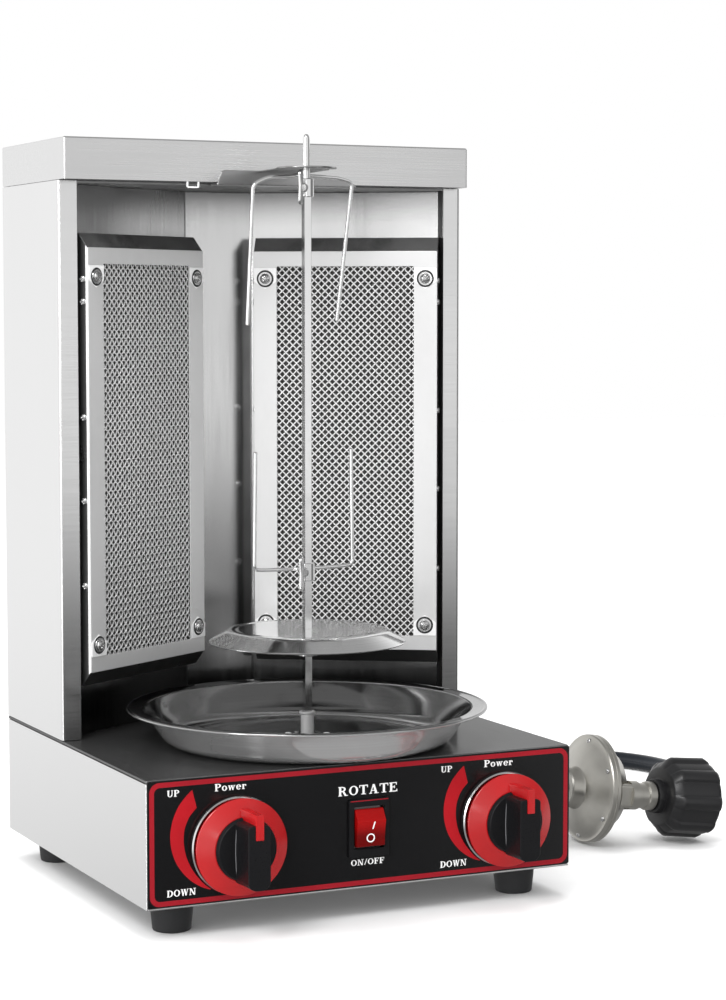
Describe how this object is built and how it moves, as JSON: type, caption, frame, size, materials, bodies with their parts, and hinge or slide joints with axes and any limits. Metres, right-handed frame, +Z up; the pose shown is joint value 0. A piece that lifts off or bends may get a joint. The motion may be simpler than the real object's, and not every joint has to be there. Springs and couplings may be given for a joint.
{
  "type": "vertical rotisserie broiler",
  "caption": "Upright gas rotisserie grill: infrared burners in a steel tower around a motor-driven spit over a drip tray, with a control box, gas hose and regulator.",
  "frame": {"origin": "centre of the appliance's box, without the hose assembly, on the surface that it stands on", "axes": "+Z up, -Y towards the user at the control panel, +X to the right seen from the front"},
  "size_m": [0.5963, 0.4715, 0.5052],
  "materials": {
    "brushed_steel_body": "light brushed stainless sheet with bright folded edges",
    "mirror_steel_top": "dark mirror-polished stainless sheet",
    "polished_steel": "polished spun stainless steel",
    "galvanised_steel": "dull zinc-coated steel",
    "bright_wire": "bright drawn stainless bar and wire",
    "burner_gauze": "fine woven heat-resisting steel gauze",
    "ceramic_tile": "porous off-white burner ceramic",
    "black_fascia": null,
    "black_plastic": "moulded black plastic",
    "red_plastic": "glossy red plastic",
    "foot_rubber": "matt black rubber",
    "hose_rubber": "smooth blue-black gas hose rubber",
    "brass_fitting": "turned yellow brass",
    "zinc_casting": "cast and plated zinc alloy"
  },
  "bodies": {
    "root": {"base_shell": "brushed_steel_body", "tower_side_left": "brushed_steel_body", "tower_side_right": "brushed_steel_body", "tower_back": "brushed_steel_body", "top_cap": "brushed_steel_body", "burner_frame_left": "brushed_steel_body", "burner_frame_right": "brushed_steel_body", "base_top": "mirror_steel_top", "inner_liner": "polished_steel", "hook_bracket": "polished_steel", "base_bottom": "galvanised_steel", "ceiling_plate": "galvanised_steel", "gear_motor": "galvanised_steel", "motor_bracket": "galvanised_steel", "manifold_pipe": "galvanised_steel", "burner_pan_left": "galvanised_steel", "burner_pan_right": "galvanised_steel", "mixing_tube_left": "galvanised_steel", "mixing_tube_right": "galvanised_steel", "knob_ring_left": "bright_wire", "knob_ring_right": "bright_wire", "burner_mesh_left": "burner_gauze", "burner_mesh_right": "burner_gauze", "ceramic_tile_left": "ceramic_tile", "ceramic_tile_right": "ceramic_tile", "control_fascia": "black_fascia", "switch_housing": "black_plastic", "cable_gland": "black_plastic", "foot_front_left": "foot_rubber", "foot_front_right": "foot_rubber", "foot_rear_left": "foot_rubber", "foot_rear_right": "foot_rubber", "gas_hose": "hose_rubber", "gas_inlet": "brass_fitting", "flare_nut": "brass_fitting", "valve_body_left": "brass_fitting", "valve_body_right": "brass_fitting", "regulator_body": "zinc_casting", "ferrule_inlet_end": "zinc_casting", "ferrule_regulator_end": "zinc_casting"},
    "spit": {"drive_socket": "bright_wire", "spit_rod": "bright_wire"},
    "plate": {"meat_plate": "polished_steel"},
    "plate_thumb_screw": {"plate_screw": "bright_wire"},
    "top_fork": {"upper_fork": "bright_wire"},
    "top_fork_thumb_screw": {"upper_fork_screw": "bright_wire"},
    "bottom_fork": {"lower_fork": "bright_wire"},
    "bottom_fork_thumb_screw": {"lower_fork_screw": "bright_wire"},
    "tray": {"drip_tray": "polished_steel"},
    "rocker": {"switch_rocker": "red_plastic"},
    "handwheel": {"regulator_handwheel": "black_plastic"},
    "plug_left": {"valve_plug_left": "brass_fitting"},
    "knob_left": {"knob_skirt_left": "red_plastic", "knob_grip_left": "black_plastic", "valve_stem_left": "brass_fitting"},
    "plug_right": {"valve_plug_right": "brass_fitting"},
    "knob_right": {"knob_skirt_right": "red_plastic", "knob_grip_right": "black_plastic", "valve_stem_right": "brass_fitting"}
  },
  "joints": [
    {"name": "spit_spin", "type": "hinge", "parent": "root", "child": "spit", "pos_m": [0, -0.047, 0.3], "axis": [0, 0, 1], "continuous": true},
    {"name": "plate_slide", "type": "slide", "parent": "spit", "child": "plate", "axis": [0, 0, 1], "range_m": [-0.02, 0.015]},
    {"name": "plate_screw_turn", "type": "hinge", "parent": "plate", "child": "plate_thumb_screw", "pos_m": [0, -0.047, 0.1628], "axis": [-1, 0, 0], "continuous": true},
    {"name": "upper_fork_slide", "type": "slide", "parent": "spit", "child": "top_fork", "axis": [0, 0, 1], "range_m": [-0.06, 0]},
    {"name": "upper_fork_screw_turn", "type": "hinge", "parent": "top_fork", "child": "top_fork_thumb_screw", "pos_m": [0, -0.047, 0.46985], "axis": [-0.6428, -0.766, 0], "continuous": true},
    {"name": "lower_fork_slide", "type": "slide", "parent": "spit", "child": "bottom_fork", "axis": [0, 0, 1], "range_m": [-0.008, 0.012]},
    {"name": "lower_fork_screw_turn", "type": "hinge", "parent": "bottom_fork", "child": "bottom_fork_thumb_screw", "pos_m": [0, -0.047, 0.215], "axis": [-0.6428, -0.766, 0], "continuous": true},
    {"name": "tray_lift", "type": "slide", "parent": "root", "child": "tray", "axis": [0, 0, 1], "range_m": [0, 0.02]},
    {"name": "knob_turn_left", "type": "hinge", "parent": "root", "child": "plug_left", "pos_m": [-0.0895, -0.139, 0.056], "axis": [0, -1, 0], "range_deg": [0, 180]},
    {"name": "knob_push_left", "type": "slide", "parent": "plug_left", "child": "knob_left", "axis": [0, 1, 0], "range_m": [0, 0.003], "stiffness_N_per_m": 600, "springref_m": -0.002},
    {"name": "knob_turn_right", "type": "hinge", "parent": "root", "child": "plug_right", "pos_m": [0.1005, -0.139, 0.056], "axis": [0, -1, 0], "range_deg": [0, 180]},
    {"name": "knob_push_right", "type": "slide", "parent": "plug_right", "child": "knob_right", "axis": [0, 1, 0], "range_m": [0, 0.003], "stiffness_N_per_m": 600, "springref_m": -0.002},
    {"name": "rocker_tilt", "type": "hinge", "parent": "root", "child": "rocker", "pos_m": [0.001, -0.1365, 0.0592], "axis": [1, 0, 0], "range_deg": [0, 16]},
    {"name": "handwheel_turn", "type": "hinge", "parent": "root", "child": "handwheel", "pos_m": [0.258, -0.028, 0.0388], "axis": [0.993, 0, -0.1184], "continuous": true}
  ]
}
